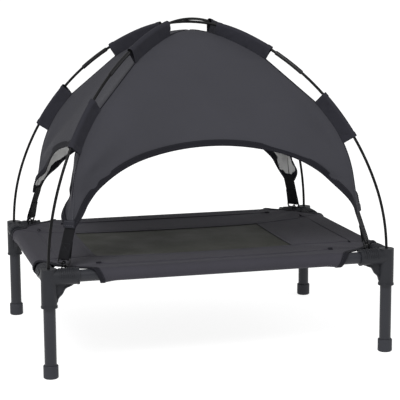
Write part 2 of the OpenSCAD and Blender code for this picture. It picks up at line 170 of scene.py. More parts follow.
def ridge_at(s):
    return np.interp(s, RIDGE[0], RIDGE[1]), np.interp(s, RIDGE[0], RIDGE[2])


def arch_curve(half, rise, turn, steps=80):
    """Lateral place and height above the tail's end of half an arch, two tangent arcs."""
    a, e = np.radians(turn)
    crown, haunch = np.linalg.solve(
        [
            [math.sin(a), math.sin(e) - math.sin(a)],
            [1 - math.cos(a), math.cos(a) - math.cos(e)],
        ],
        [half, rise],
    )
    t = np.linspace(0, a, steps)
    x = list(crown * np.sin(t))
    z = list(rise - crown * (1 - np.cos(t)))
    t = np.linspace(a, e, steps)[1:]
    x += list(x[-1] + haunch * (np.sin(t) - math.sin(a)))
    z += list(z[-1] + haunch * (np.cos(t) - math.cos(a)))
    return np.array(x), np.array(z)


# ---- the canopy's surface ------------------------------------------------------------
# out and across are plan directions, wide and deep the shares of r along them
STRAP_HALF = 0.012
FRONT_ARCH = arch_curve(UX * RIDGE_FOOT[0] - UY * STRAP_HALF, 0.121, (15.5, 62))
SIDE_ARCH = arch_curve(UY * RIDGE_FOOT[0] - UX * STRAP_HALF, 0.105, (20, 62))
# pull is where, how high and how wide the hem is pulled up on one side
PANELS = {
    "front": dict(out=(0, -1), across=(1, 0), wide=UX, deep=UY, sag=0.010, arch=FRONT_ARCH,
                  pull=(0, 0, 1)),
    "back": dict(out=(0, 1), across=(-1, 0), wide=UX, deep=UY, sag=0.011, arch=FRONT_ARCH,
                 pull=(0, 0, 1)),
    "left": dict(out=(-1, 0), across=(0, -1), wide=UY, deep=UX, sag=0.014, arch=SIDE_ARCH,
                 pull=(0.050, 0.030, 0.040)),
    "right": dict(out=(1, 0), across=(0, 1), wide=UY, deep=UX, sag=0.014, arch=SIDE_ARCH,
                  pull=(0, 0, 1)),
}
# radius and height that the folds fan out from, just outside the ridge
FOLD_R, FOLD_Z = 0.335, 0.290
FOLD_DEPTH, WAVE_DEPTH = 0.0026, 0.0014
CREASE_DEPTH, CREASE_W = 0.0022, 0.0085
CREASE_ANGLES = (-0.22, -0.04, 0.15, 0.34)


def folds(panel, across, z, seed):
    """Soft creases that fan out from the lower sleeve ends, and slow waves over the cloth."""
    depth = np.zeros_like(z)
    half = panel["wide"] * FOLD_R
    for side in (-1, 1):
        from_ridge = half - side * across
        rise = z - FOLD_Z
        away = np.hypot(from_ridge, rise)
        angle = np.arctan2(rise, np.maximum(from_ridge, 1e-6))
        fan = np.sin(8.0 * angle + 1.3 * seed + side) + 0.6 * np.sin(14 * angle + 2.1 * seed)
        near = smooth(away, 0.03, 0.08) * (1 - smooth(away, 0.10, 0.33))
        depth += FOLD_DEPTH * fan * near
        reach = smooth(away, 0.02, 0.06) * (1 - smooth(away, 0.14, 0.30))
        for turn in CREASE_ANGLES:
            depth += CREASE_DEPTH * reach * np.exp(-((away * (angle - turn - 0.03 * side) / CREASE_W) ** 2))
    wave = np.sin(17 * across + 23 * z + seed) * np.sin(13 * z - 9 * across)
    depth += WAVE_DEPTH * wave
    return depth * smooth(CANOPY_TOP - z, 0.01, 0.08)


def panel_point(name, c, s, lift=0.0):
    """Canopy cloth at share c of the panel's width and length s up the ridge."""
    panel = PANELS[name]
    c, s = np.broadcast_arrays(np.asarray(c, float), np.asarray(s, float))
    r, z = ridge_at(s)
    across = c * panel["wide"] * r
    lateral = (1 - np.abs(c)) * panel["wide"] * r
    # the tails turn flat, square to the diagonal
    flat = (1 - smooth(z, TAIL_Z + 0.004, TAIL_Z + 0.060)) * (1 - smooth(lateral, 0.014, 0.042))
    out = panel["deep"] * r + panel["wide"] / panel["deep"] * lateral * flat
    level = np.sin(math.pi * np.clip((CANOPY_TOP - z) / 0.31, 0, 1)) ** 0.8
    inward = panel["sag"] * (1 - c**2) * level
    seed = list(PANELS).index(name)
    inward += folds(panel, across, z, seed) * smooth(1 - np.abs(c), 0, 0.12)
    out = out - inward + lift
    o, a = np.array(panel["out"] + (0,)), np.array(panel["across"] + (0,))
    return out[..., None] * o + across[..., None] * a + z[..., None] * UP


def hem_start(name, c):
    """Length up the ridge at which column c of a panel meets its arch."""
    panel = PANELS[name]
    x, height = panel["arch"]
    at, rise, width = panel["pull"]
    starts = []
    for share in np.atleast_1d(c):
        across = share * panel["wide"] * RIDGE[1]
        hem = np.interp(np.abs(across), x, height, right=0)
        hem = hem + rise * np.exp(-(((across - at) / width) ** 2)) * (hem > 0)
        gap = RIDGE[2] - TAIL_Z - hem
        below = np.nonzero(gap < -1e-9)[0]
        if len(below) == 0:
            starts.append(0.0)
            continue
        i = below[-1]
        t = gap[i] / (gap[i] - gap[i + 1])
        starts.append(RIDGE[0][i] + t * (RIDGE[0][i + 1] - RIDGE[0][i]))
    return np.array(starts)


# ---- mesh helpers -----------------------------------------------------------------
class Surface:
    """Quads gathered from grids of points. Corners that coincide become one vertex."""

    def __init__(self):
        self.corners, self.uvs = [], []

    def grid(self, points, uv, facing, keep=None):
        """Adds a grid. Its first row faces the direction given, keep says which quads stay."""
        def quads(a):
            return np.stack([a[:-1, :-1], a[1:, :-1], a[1:, 1:], a[:-1, 1:]], 2)

        q, t = quads(points), quads(uv)
        first = q[0]
        normal = np.cross(first[:, 1] - first[:, 0], first[:, 3] - first[:, 0]).sum(0)
        if normal @ np.asarray(facing, float) < 0:
            q, t = q[:, :, ::-1], t[:, :, ::-1]
        stay = np.ones(q.shape[:2], bool) if keep is None else keep
        self.corners.append(q[stay])
        self.uvs.append(t[stay])

    def mesh(self):
        corners = np.concatenate(self.corners)
        uvs = np.concatenate(self.uvs)
        flat = np.round(corners.reshape(-1, 3), 6)
        verts, index = np.unique(flat, axis=0, return_inverse=True)
        faces, face_uvs = [], []
        for face, uv in zip(index.reshape(-1, 4), uvs):
            stay = [i for i in range(4) if face[i] != face[i - 1]]
            if len(stay) > 2:
                faces.append([int(face[i]) for i in stay])
                face_uvs.append([uv[i] for i in stay])
        return verts, faces, face_uvs


def new_object(name, verts, faces, materials, uvs=None, indices=None, sharp=40):
    mesh = bpy.data.meshes.new(name)
    mesh.from_pydata([tuple(v) for v in verts], [], faces)
    for material in materials:
        mesh.materials.append(material)
    if indices is not None:
        mesh.polygons.foreach_set("material_index", indices)
    if uvs is not None:
        layer = mesh.uv_layers.new(name="UVMap")
        flat = np.concatenate([np.asarray(u, float).reshape(-1, 2) for u in uvs])
        layer.data.foreach_set("uv", flat.ravel())
    mesh.polygons.foreach_set("use_smooth", [True] * len(mesh.polygons))
    mesh.set_sharp_from_angle(angle=math.radians(sharp))
    mesh.update()
    obj = bpy.data.objects.new(name, mesh)
    bpy.context.scene.collection.objects.link(obj)
    return obj


def shell(name, surface, thickness, outer, inner):
    """A closed sheet: the surface, its back a thickness behind, and a rim."""
    verts, faces, uvs = surface.mesh()
    normals = np.zeros_like(verts)
    for face in faces:
        p = verts[face]
        normals[face] += np.cross(p[1] - p[0], p[-1] - p[0])
    normals /= np.linalg.norm(normals, axis=1)[:, None] + 1e-12
    count = len(verts)
    uses = {}
    for face, uv in zip(faces, uvs):
        for i, a in enumerate(face):
            b = face[i - len(face) + 1]
            uses.setdefault(frozenset((a, b)), []).append((a, b, uv[i]))
    back = [[v + count for v in reversed(face)] for face in faces]
    rim, rim_uvs = [], []
    for found in uses.values():
        if len(found) == 1:
            a, b, uv = found[0]
            rim.append([b, a, a + count, b + count])
            rim_uvs.append([uv] * 4)
    return new_object(
        name,
        np.concatenate([verts, verts - normals * thickness]),
        faces + back + rim,
        [outer, inner],
        uvs + [uv[::-1] for uv in uvs] + rim_uvs,
        [0] * len(faces) + [1] * len(faces) + [0] * len(rim),
    )


def sweep(name, rings, material, closed=False, sharp=40):
    """A closed skin over rings of points, (rings, points, 3), with flat ends unless closed."""
    count, width = rings.shape[:2]
    verts = rings.reshape(-1, 3)
    around = np.linalg.norm(rings - np.roll(rings, 1, axis=1), axis=2).mean(0)
    u = np.concatenate([[0], np.cumsum(np.roll(around, -1))])
    along = np.linalg.norm(np.diff(rings, axis=0), axis=2).mean(1)
    v = np.concatenate([[0], np.cumsum(along), [along.sum()]])
    faces, uvs = [], []
    for i in range(count if closed else count - 1):
        j = (i + 1) % count
        for k in range(width):
            m = (k + 1) % width
            faces.append([i * width + k, i * width + m, j * width + m, j * width + k])
            uvs.append(
                np.array([[u[k], v[i]], [u[k + 1], v[i]], [u[k + 1], v[i + 1]], [u[k], v[i + 1]]])
            )
    if not closed:
        for face in (list(range(width))[::-1], [(count - 1) * width + k for k in range(width)]):
            faces.append(face)
            uvs.append(np.zeros((width, 2)))
    obj = new_object(name, verts, faces, [material], uvs, sharp=sharp)
    return face_outwards(obj)


def face_outwards(obj):
    """Turns every face of a closed mesh outwards."""
    work = bmesh.new()
    work.from_mesh(obj.data)
    bmesh.ops.recalc_face_normals(work, faces=work.faces)
    work.to_mesh(obj.data)
    work.free()
    return obj


def unit(v):
    v = np.asarray(v, float)
    return v / (np.linalg.norm(v, axis=-1, keepdims=True) + 1e-12)


def resample(path, pitch):
    """Points of a polyline a pitch apart, as places to interpolate anything along it."""
    length = run_along(path)
    count = max(2, int(round(length[-1] / pitch)))
    return length, (np.arange(count) + 0.5) * length[-1] / count


def binding(name, path, normal, inward, width, thick, material, proud=0.0006):
    """Tape folded over a cloth edge: width up each face, proud of the cloth on both."""
    low, high = -thick - proud, proud
    mid, half = (low + high) / 2, (high - low) / 2
    section = [(width, high), (width * 0.5, high + 0.0001)]
    for angle in np.radians([90, 120, 150, 180, 210, 240, 270]):
        section.append((0.0002 + half * 1.1 * math.cos(angle), mid + half * math.sin(angle)))
    section += [(width * 0.5, low - 0.0001), (width, low)]
    rings = np.stack([path + inward * a + normal * b for a, b in section], 1)
    return sweep(name, rings, material, sharp=50)


def stitches(name, rows, material, pitch=0.0042, long=0.0027, r=0.00033):
    """Short threads along rows, each row a (path, normal) pair."""
    verts, faces = [], []
    ring = np.array([(1, 0), (0.3, 0.9), (-0.3, 0.9), (-1, 0), (0, -0.6)])
    for path, normal in rows:
        length, places = resample(path, pitch)
        at = np.stack([np.interp(places, length, path[:, k]) for k in range(3)], 1)
        up = unit(np.stack([np.interp(places, length, normal[:, k]) for k in range(3)], 1))
        ahead = np.stack([np.interp(places + 0.0005, length, path[:, k]) for k in range(3)], 1)
        behind = np.stack([np.interp(places - 0.0005, length, path[:, k]) for k in range(3)], 1)
        along = unit(ahead - behind)
        side = unit(np.cross(up, along))
        for p, u, t, s in zip(at, up, along, side):
            start = len(verts)
            for shift, swell, lift in ((-0.5, 0.5, 0.0), (0, 1, 0.5), (0.5, 0.5, 0.0)):
                centre = p + t * shift * long + u * lift * r
                verts += [centre + (s * a + u * b) * r * swell for a, b in ring]
            n = len(ring)
            for i in (0, 1):
                for k in range(n):
                    m = (k + 1) % n
                    a = start + i * n
                    faces.append([a + k, a + m, a + n + m, a + n + k])
            faces.append([start + k for k in range(n)][::-1])
            faces.append([start + 2 * n + k for k in range(n)])
    return new_object(name, verts, faces, [material], sharp=80)


# ---- materials ----------------------------------------------------------------------
def srgb(*rgb):
    """Linear colour of an sRGB one given in 0 to 255."""
    out = [v / 255 / 12.92 if v / 255 <= 0.04045 else ((v / 255 + 0.055) / 1.055) ** 2.4 for v in rgb]
    return (*out, 1.0)


class Nodes:
    """A material's node tree, with short calls for the nodes used here."""

    def __init__(self, name):
        self.material = bpy.data.materials.new(name)
        self.material.use_nodes = True
        self.tree = self.material.node_tree
        self.surface = self.tree.nodes["Principled BSDF"]

    def feed(self, socket, value):
        """Links a socket to another one, or gives it a constant."""
        if isinstance(value, bpy.types.NodeSocket):
            self.tree.links.new(value, socket)
        else:
            socket.default_value = value

    def node(self, kind, inputs=None, **settings):
        made = self.tree.nodes.new("ShaderNode" + kind)
        for key, value in settings.items():
            setattr(made, key, value)
        for key, value in (inputs or {}).items():
            self.feed(made.inputs[key], value)
        return made

    def math(self, operation, a, b=0.0, c=None):
        inputs = {0: a, 1: b}
        if c is not None:
            inputs[2] = c
        return self.node("Math", inputs, operation=operation).outputs[0]

    def ramp(self, value, low, high, start=0.0, end=1.0):
        """Value from low to high, as value goes from start to end."""
        return self.node(
            "MapRange", {0: value, 1: start, 2: end, 3: low, 4: high}
        ).outputs[0]

    def shade(self, factor, dark, light):
        made = self.node("Mix", {0: factor}, data_type="RGBA")
        self.feed(made.inputs["A"], dark)
        self.feed(made.inputs["B"], light)
        return made.outputs["Result"]

    def set(self, **values):
        for key, value in values.items():
            self.feed(self.surface.inputs[key.replace("_", " ")], value)

    def here(self):
        """Object coordinates."""
        return self.node("TexCoord").outputs["Object"]

    def threads(self):
        """The two UV coordinates, in metres along the threads."""
        return self.node("SeparateXYZ", {0: self.node("UVMap").outputs["UV"]}).outputs

    def bump(self, height, strength, distance, **more):
        inputs = {"Strength": strength, "Distance": distance, "Height": height, **more}
        self.set(Normal=self.node("Bump", inputs).outputs[0])

    def noise(self, scale, detail=3.0, roughness=0.55, vector=None):
        inputs = {"Scale": scale, "Detail": detail, "Roughness": roughness}
        if vector is not None:
            inputs["Vector"] = vector
        return self.node("TexNoise", inputs).outputs["Fac"]


def scaled(colour, k):
    return tuple(min(1.0, v * k) for v in colour[:3]) + (1.0,)


def cloth(name, colour, thread, rough=0.8, depth=0.00008, sheen=0.05, specular=0.15):
    """Plain weave on UVs in metres, its colour darker between the threads as painted shade. thread is the
    spacing of the threads.
    """
    n = Nodes(name)
    place = n.here()
    parts = n.threads()
    wobble = n.noise(140.0, 2.0, vector=place)
    waves = []
    for k in (0, 1):
        bent = n.math("MULTIPLY_ADD", wobble, thread / 2, parts[k])
        waves.append(n.math("SINE", n.math("MULTIPLY", bent, math.pi / thread)))
    weave = n.math("MULTIPLY", waves[0], waves[1])
    height = n.math("MULTIPLY_ADD", weave, 0.5, 0.5)
    cloud = n.noise(9.0, 4.0, vector=place)
    speck = n.noise(1500.0, 1.0, vector=place)
    # colour: random cloudy tone and specks, plus painted shade that darkens the low parts of the weave
    # between the threads
    tone = n.math("MULTIPLY_ADD", height, 0.35, n.math("MULTIPLY", cloud, 0.6))
    tone = n.math("MULTIPLY_ADD", speck, 0.25, tone)
    n.set(Base_Color=n.shade(n.ramp(tone, 0, 1, 0.2, 1.0), scaled(colour, 0.78), scaled(colour, 1.25)))
    n.set(Roughness=n.ramp(cloud, rough - 0.06, rough + 0.06, 0.3, 0.7))
    n.set(Specular_IOR_Level=specular, Sheen_Weight=sheen, Sheen_Roughness=0.45)
    n.bump(height, 0.8, depth)
    return n.material


def webbing_cloth(name, colour):
    """Tight ribbed webbing: cross ribs with a fine twill on them, painted darker in the grooves as shade.
    """
    n = Nodes(name)
    place = n.here()
    parts = n.threads()
    rib = n.math("SINE", n.math("MULTIPLY", parts[1], 2 * math.pi / 0.0016))
    across = n.math("MULTIPLY", parts[0], 2 * math.pi / 0.0014)
    down = n.math("MULTIPLY", parts[1], 2 * math.pi / 0.0032)
    twill = n.math("SINE", n.math("ADD", across, down))
    height = n.math("MULTIPLY_ADD", twill, 0.35, n.math("MULTIPLY_ADD", rib, 0.3, 0.5))
    cloud = n.noise(30.0, 3.0, vector=place)
    # colour: random cloudy tone plus painted shade, darker in the low grooves of the ribs and twill
    tone = n.math("MULTIPLY_ADD", cloud, 0.5, n.math("MULTIPLY", height, 0.5))
    n.set(Base_Color=n.shade(tone, scaled(colour, 0.6), scaled(colour, 1.6)))
    n.set(Roughness=n.ramp(cloud, 0.62, 0.8, 0.3, 0.7))
    n.set(Specular_IOR_Level=0.12, Sheen_Weight=0.03)
    n.bump(height, 0.8, 0.0002)
    return n.material


def mesh_cloth(name, colour):
    """Coated open mesh: round-cornered holes between crossing yarns, painted dark as the shade seen through
    them.
    """
    n = Nodes(name)
    place = n.here()
    parts = n.threads()
    pitch = (0.0021, 0.0017)
    yarns = []
    for k in (0, 1):
        wave = n.math("SINE", n.math("MULTIPLY", parts[k], math.pi / pitch[k]))
        yarns.append(n.math("POWER", n.math("ABSOLUTE", wave), 1.6))
    hole = n.math("MULTIPLY", yarns[0], yarns[1])
    height = n.math("SUBTRACT", 1.0, hole)
    cloud = n.noise(12.0, 3.0, vector=place)
    # colour: random cloudy tone plus painted shade, the opaque holes painted dark where one would see into
    # the shade beneath
    tone = n.math("MULTIPLY_ADD", cloud, 0.35, n.math("MULTIPLY", height, 0.7))
    n.set(Base_Color=n.shade(tone, scaled(colour, 0.35), scaled(colour, 1.5)))
    n.set(Roughness=n.ramp(cloud, 0.5, 0.66, 0.3, 0.7), Specular_IOR_Level=0.2)
    n.bump(height, 0.9, 0.0004)
    return n.material


def edge_mask(n, radius):
    """1 on the edges of a hard piece, and the normal rounded over them."""
    rounded = n.node("Bevel", {"Radius": radius}, samples=6).outputs[0]
    true = n.node("NewGeometry").outputs["Normal"]
    facing = n.node("VectorMath", {0: rounded, 1: true}, operation="DOT_PRODUCT").outputs["Value"]
    return n.ramp(facing, 1.0, 0.0, 0.72, 0.995), rounded


def moulded(name, colour, rough, grain, depth, wear, radius=0.0007, specular=0.45):
    """Moulded plastic: fine spark grain, cloudy gloss, and edges rubbed lighter."""
    n = Nodes(name)
    place = n.here()
    edge, rounded = edge_mask(n, radius)
    fine = n.noise(grain, 2.0, vector=place)
    cloud = n.noise(18.0, 4.0, vector=place)
    scuff = n.noise(130.0, 5.0, 0.7, vector=place)
    worn = n.math("MULTIPLY", edge, n.ramp(scuff, 0.25, 1.0, 0.35, 0.62))
    body = n.shade(n.ramp(cloud, 0, 1, 0.3, 0.7), scaled(colour, 0.85), scaled(colour, 1.15))
    n.set(Base_Color=n.shade(worn, body, scaled(colour, wear)))
    gloss = n.math("MULTIPLY_ADD", cloud, 0.5, n.math("MULTIPLY", scuff, 0.5))
    n.set(Roughness=n.ramp(gloss, rough - 0.08, rough + 0.08, 0.3, 0.7))
    n.set(Specular_IOR_Level=specular)
    n.bump(fine, 0.6, depth, Normal=rounded)
    return n.material


def coated_tube(name, colour, rough, specular):
    """Powder-coated steel tube: orange peel, with thin rub marks round it."""
    n = Nodes(name)
    place = n.here()
    edge, rounded = edge_mask(n, 0.0004)
    peel = n.noise(750.0, 2.0, 0.6, vector=place)
    cloud = n.noise(15.0, 4.0, vector=place)
    rub = n.node("Mapping", {0: place, "Scale": (40.0, 40.0, 900.0)}).outputs[0]
    rubbed = n.noise(1.0, 3.0, 0.6, vector=rub)
    body = n.shade(n.ramp(cloud, 0, 1, 0.3, 0.7), scaled(colour, 0.9), scaled(colour, 1.12))
    n.set(Base_Color=n.shade(n.math("MULTIPLY", edge, 0.8), body, scaled(colour, 2.2)))
    gloss = n.math("MULTIPLY_ADD", rubbed, 0.4, n.math("MULTIPLY", cloud, 0.6))
    n.set(Roughness=n.ramp(gloss, rough - 0.07, rough + 0.09, 0.3, 0.7))
    n.set(Specular_IOR_Level=specular)
    n.bump(peel, 0.35, 0.00006, Normal=rounded)
    return n.material


def rod_gloss(name, colour, rough, streak, specular):
    """Drawn fibreglass or steel: fine streaks and a clear gloss."""
    n = Nodes(name)
    place = n.here()
    cloud = n.noise(40.0, 3.0, vector=place)
    fine = n.noise(streak, 2.0, vector=place)
    tone = n.math("MULTIPLY_ADD", fine, 0.5, n.math("MULTIPLY", cloud, 0.5))
    n.set(Base_Color=n.shade(n.ramp(tone, 0, 1, 0.3, 0.7), scaled(colour, 0.7), scaled(colour, 1.5)))
    n.set(Roughness=n.ramp(tone, rough - 0.06, rough + 0.1, 0.3, 0.7))
    n.set(Specular_IOR_Level=specular)
    n.bump(fine, 0.3, 0.00005)
    return n.material


def thread_material(name, colour):
    n = Nodes(name)
    place = n.here()
    twist = n.noise(2500.0, 2.0, vector=place)
    n.set(Base_Color=n.shade(twist, scaled(colour, 0.7), scaled(colour, 1.4)))
    n.set(Roughness=n.ramp(twist, 0.5, 0.7, 0.3, 0.7), Specular_IOR_Level=0.15)
    return n.material


CANOPY = cloth("canopy_outer", srgb(53, 53, 58), 0.00055, rough=0.78, sheen=0.03, specular=0.12)
LINING = cloth("canopy_lining", srgb(214, 214, 213), 0.00055, rough=0.5, sheen=0.0, specular=0.3)
SLEEVE = cloth("sleeve_cloth", srgb(37, 37, 43), 0.00055, rough=0.78, sheen=0.03, specular=0.12)
TAPE = cloth("binding_tape", srgb(25, 25, 30), 0.0007, rough=0.8, depth=0.00012, sheen=0.02, specular=0.1)
BED = cloth("bed_cloth", srgb(53, 52, 58), 0.0008, rough=0.8, depth=0.00012, sheen=0.03, specular=0.12)
MESH = mesh_cloth("mesh_cloth", srgb(36, 37, 31))
WEBBING = webbing_cloth("strap_webbing", srgb(14, 14, 17))
THREAD = thread_material("thread_dark", srgb(40, 40, 45))
TAIL_THREAD = thread_material("thread_tail", srgb(84, 84, 90))
BED_THREAD = thread_material("thread_bed", srgb(54, 53, 61))
BRACKET = moulded("bracket_plastic", srgb(34, 35, 39), 0.5, 1100.0, 0.00008, 1.9, specular=0.2)
RING = moulded("ring_plastic", srgb(22, 22, 25), 0.35, 1500.0, 0.00004, 2.0, radius=0.0005, specular=0.3)
FOOT = moulded("foot_rubber", srgb(46, 47, 52), 0.62, 900.0, 0.00008, 1.5, specular=0.2)
TUBE = coated_tube("tube_coat", srgb(38, 39, 44), 0.42, 0.25)
ROD = rod_gloss("hoop_rod", srgb(8, 8, 9), 0.36, 900.0, 0.15)
FERRULE = rod_gloss("ferrule_coat", srgb(14, 14, 16), 0.34, 500.0, 0.25)
ELASTIC = rod_gloss("elastic_cover", srgb(9, 9, 10), 0.6, 1500.0, 0.1)


def dress(material, *starts):
    """Gives the kept CAD nodes whose names start so their material."""
    for name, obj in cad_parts.items():
        if name.startswith(starts):
            for part in obj.material_slots:
                part.material = material


dress(BRACKET, "corner_bracket_")
dress(TUBE, "leg_tube_", "long_rail_", "short_rail_")
dress(FOOT, "foot_cap_")
dress(ROD, "hoop_")
dress(FERRULE, "ferrule_")
dress(ELASTIC, "elastic_loop_")


def place(obj, body, slot, *nodes):
    """The piece rides on a body and stands for some nodes; slot is not used."""
    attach(obj, body)
    if nodes:
        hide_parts(*nodes)
    return obj


# ---- canopy shell, hems and ridge seams ----------------------------------------------
CLOTH_T = 0.0008
COLUMNS = np.sin(np.linspace(-1, 1, 121) * math.pi / 2)
ROWS = np.linspace(0, 1, 80) ** 1.15
HEM_W = 0.010


def canopy_shell():
    surface = Surface()
    for name, panel in PANELS.items():
        start = hem_start(name, COLUMNS)
        s = start[None, :] + (RIDGE_LEN - start)[None, :] * ROWS[:, None]
        c = np.broadcast_to(COLUMNS[None, :], s.shape)
        points = panel_point(name, c, s)
        uv = np.stack([c * panel["wide"] * ridge_at(s)[0], s], -1)
        surface.grid(points, uv, np.array(panel["out"] + (0.3,)))
    return shell("canopy_cloth", surface, CLOTH_T, CANOPY, LINING)


def hem_frame(name, steps=150):
    """Edge of a panel's arch: points, outward normals and the in-cloth way up from it."""
    w = np.linspace(-1, 1, steps)
    c = np.sin(w * math.pi / 2)
    start = hem_start(name, c)
    on_arch = start > 1e-6
    first, last = np.argmax(on_arch) - 1, len(on_arch) - np.argmax(on_arch[::-1])
    c, start = c[first:last + 1], start[first:last + 1]
    at = panel_point(name, c, start)
    d = 1e-4
    after, before = (panel_point(name, np.clip(c + step, -1, 1), start) for step in (d, -d))
    by_c = after - before
    by_s = panel_point(name, c, start + d) - at
    normal = unit(np.cross(by_c, by_s))
    out = np.array(PANELS[name]["out"] + (0,), float)
    normal *= np.sign(normal @ out)[:, None]
    along = unit(np.gradient(at, axis=0))
    inward = unit(np.cross(normal, along))
    inward *= np.sign((inward * by_s).sum(1))[:, None]
    for turn in range(4):
        for field in (normal, inward):
            field[1:-1] = (field[:-2] + 2 * field[1:-1] + field[2:]) / 4
    return at, unit(normal), unit(inward)


def canopy_hems():
    made, rows = [], []
    for name in PANELS:
        at, normal, inward = hem_frame(name)
        made.append(binding("canopy_hem_" + name, at, normal, inward, HEM_W, CLOTH_T, TAPE))
        for up in (0.0022, 0.0084):
            rows.append((at + inward * up + normal * 0.0007, normal))
            rows.append((at + inward * up - normal * (CLOTH_T + 0.0007), -normal))
    made.append(stitches("canopy_hem_stitching", rows, THREAD))
    return made


def ridge_seam(corner):
    """Felled seam along a ridge: a low bead."""
    s = np.linspace(0.004, RIDGE_LEN - 0.004, 160)
    r, z = ridge_at(s)
    heading = np.arctan2(-np.gradient(r), np.gradient(z))
    out, left = diagonal(corner)
    at = in_diagonal(corner, r, z)
    normal = np.cos(heading)[:, None] * out + np.sin(heading)[:, None] * UP
    width, high = 0.0011, 0.0010
    angles = np.linspace(0, 2 * math.pi, 10, endpoint=False)
    rings = np.stack(
        [at + left * width * math.cos(a) + normal * (high * math.sin(a) - 0.0002) for a in angles], 1
    )
    return sweep("ridge_seam_" + corner, rings, TAPE, sharp=80)


# panels on each side of a corner's ridge, and which end of the panel it is
PANEL_ENDS = {
    "fl": (("left", 1), ("front", -1)), "fr": (("front", 1), ("right", -1)),
    "br": (("right", 1), ("back", -1)), "bl": (("back", 1), ("left", -1)),
}
TAIL_RUN = 0.122
BAND_HIGH = 0.0115


def beside_ridge(corner, beside, away, s):
    """Canopy cloth a distance away from a ridge, on one of its two panels."""
    name, end = PANEL_ENDS[corner][beside]
    c = end * (1 - away / (PANELS[name]["wide"] * ridge_at(s)[0]))
    return panel_point(name, c, s)


def tail_strip(corner):
    """Seam allowance folded flat down the middle of a tail, narrower towards the sleeve."""
    s = np.linspace(0.002, TAIL_RUN, 60)
    half = 0.0052 - 0.0030 * smooth(s, 0, TAIL_RUN)
    out = diagonal(corner)[0]
    heading = RIDGE_TURN[0]
    normal = math.cos(heading) * out + math.sin(heading) * UP
    columns = []
    for beside, share in ((0, 1), (0, 0.5), (0, 0.02), (1, 0.02), (1, 0.5), (1, 1)):
        columns.append(beside_ridge(corner, beside, half * share, s))
    lifts = [0.0007, 0.0011, 0.0011, 0.0011, 0.0011, 0.0007]
    front = [column + normal * lift for column, lift in zip(columns, lifts)]
    behind = [column - normal * 0.0004 for column in columns[::-1]]
    obj = sweep("tail_strip_" + corner, np.stack(front + behind, 1), CANOPY, sharp=45)
    rows = []
    for k in (0, 1):
        path = beside_ridge(corner, k, half - 0.0010, s)[3:]
        rows.append((path + normal * 0.0012, np.tile(normal, (len(path), 1))))
    return obj, rows


def tail_band(corner):
    """Tail's end folded over the strap and sewn down with two rows."""
    side = np.linspace(-1, 1, 25) * (STRAP_HALF + 0.0004)
    out = diagonal(corner)[0]
    heading = RIDGE_TURN[0]
    up = -math.sin(heading) * out + math.cos(heading) * UP
    normal = math.cos(heading) * out + math.sin(heading) * UP
    path = in_diagonal(corner, RIDGE_FOOT[0] + 0.0006, TAIL_Z + 0.0004 * np.sin(160 * side), side)
    count = len(side)
    normals = np.tile(normal, (count, 1))
    obj = binding("tail_band_" + corner, path, normals, np.tile(up, (count, 1)), BAND_HIGH,
                  CLOTH_T, SLEEVE, proud=0.0010)
    rows = []
    for high in (0.0026, BAND_HIGH - 0.0022):
        rows.append((path[1:-1] + up * high + normal * 0.0012, normals[1:-1]))
    return obj, rows


# ---- sleeves --------------------------------------------------------------------------
SLEEVE_R = 0.0044
SLEEVES = {"upper": (0.420, 0.528), "lower": (0.208, 0.299)}
SLEEVE_HEM = 0.007
HEM_PROUD = 0.0008
CREASES = 5


def sleeve_creases(kind, corner):
    """Slanting creases at uneven places, each a place, a slant, a width and a depth."""
    draw = random.Random(list(CORNERS).index(corner) * 7 + list(SLEEVES).index(kind))
    s0, s1 = SLEEVES[kind]
    found = []
    for i in range(CREASES):
        at = s0 + (s1 - s0) * (i + draw.uniform(0.1, 0.9)) / CREASES
        slant_by, width = draw.uniform(-0.016, 0.016), draw.uniform(0.003, 0.006)
        found.append((at, slant_by, width, draw.uniform(-0.0018, 0.0018)))
    return found


def sleeve_frame(corner, s):
    """Rod centre, way in to the ridge, distance to it and rod heading along a hoop."""
    length, r, z, heading = hoop_curve(HOOP_TOP[HOOP_OF[corner]])
    rod = np.stack([np.interp(s, length, r), np.interp(s, length, z)], 1)
    h = np.interp(s, length, heading)
    inward = -np.stack([np.cos(h), np.sin(h)], 1)
    along = np.stack([-np.sin(h), np.cos(h)], 1)
    ridge = np.stack([RIDGE[1], RIDGE[2]], 1)
    reach = []
    for p, i, t in zip(rod, inward, along):
        offset = (ridge - p) @ t
        k = np.nonzero((offset[:-1] <= 0) & (offset[1:] > 0))[0][0]
        f = -offset[k] / (offset[k + 1] - offset[k])
        reach.append((ridge[k] + f * (ridge[k + 1] - ridge[k]) - p) @ i)
    return rod, inward, np.array(reach)


def sleeve_point(corner, s, q, creases, outset=0.0):
    """Sleeve cloth at length s along the hoop and q from -1 to 1 round it, foot to foot."""
    rod, inward, reach = sleeve_frame(corner, s)
    side = np.sign(q + 1e-12)
    share = np.abs(q)
    round_part = 0.45
    flap = np.clip((share - round_part) / (1 - round_part), 0, 1)
    turn = np.clip(share / round_part, 0, 1)
    points = []
    radius = SLEEVE_R + outset
    for i in range(len(s)):
        limit = math.acos(min(0.99, radius / reach[i]))
        angle = math.pi - turn * (math.pi - limit)
        x = radius * np.cos(angle)
        y = radius * np.sin(angle)
        foot = 0.0006 + outset
        x = x + flap * (reach[i] - x)
        y = y + flap * (foot - y)
        pinch = np.zeros_like(flap)
        for at, slant, width, depth in creases:
            pinch += depth * np.exp(-(((s[i] - at - slant * flap) / width) ** 2))
        pinch *= np.sin(math.pi * flap)
        rr = rod[i][0] + inward[i][0] * x
        zz = rod[i][1] + inward[i][1] * x
        points.append(in_diagonal(corner, rr, zz, side * y + pinch))
    return np.array(points)


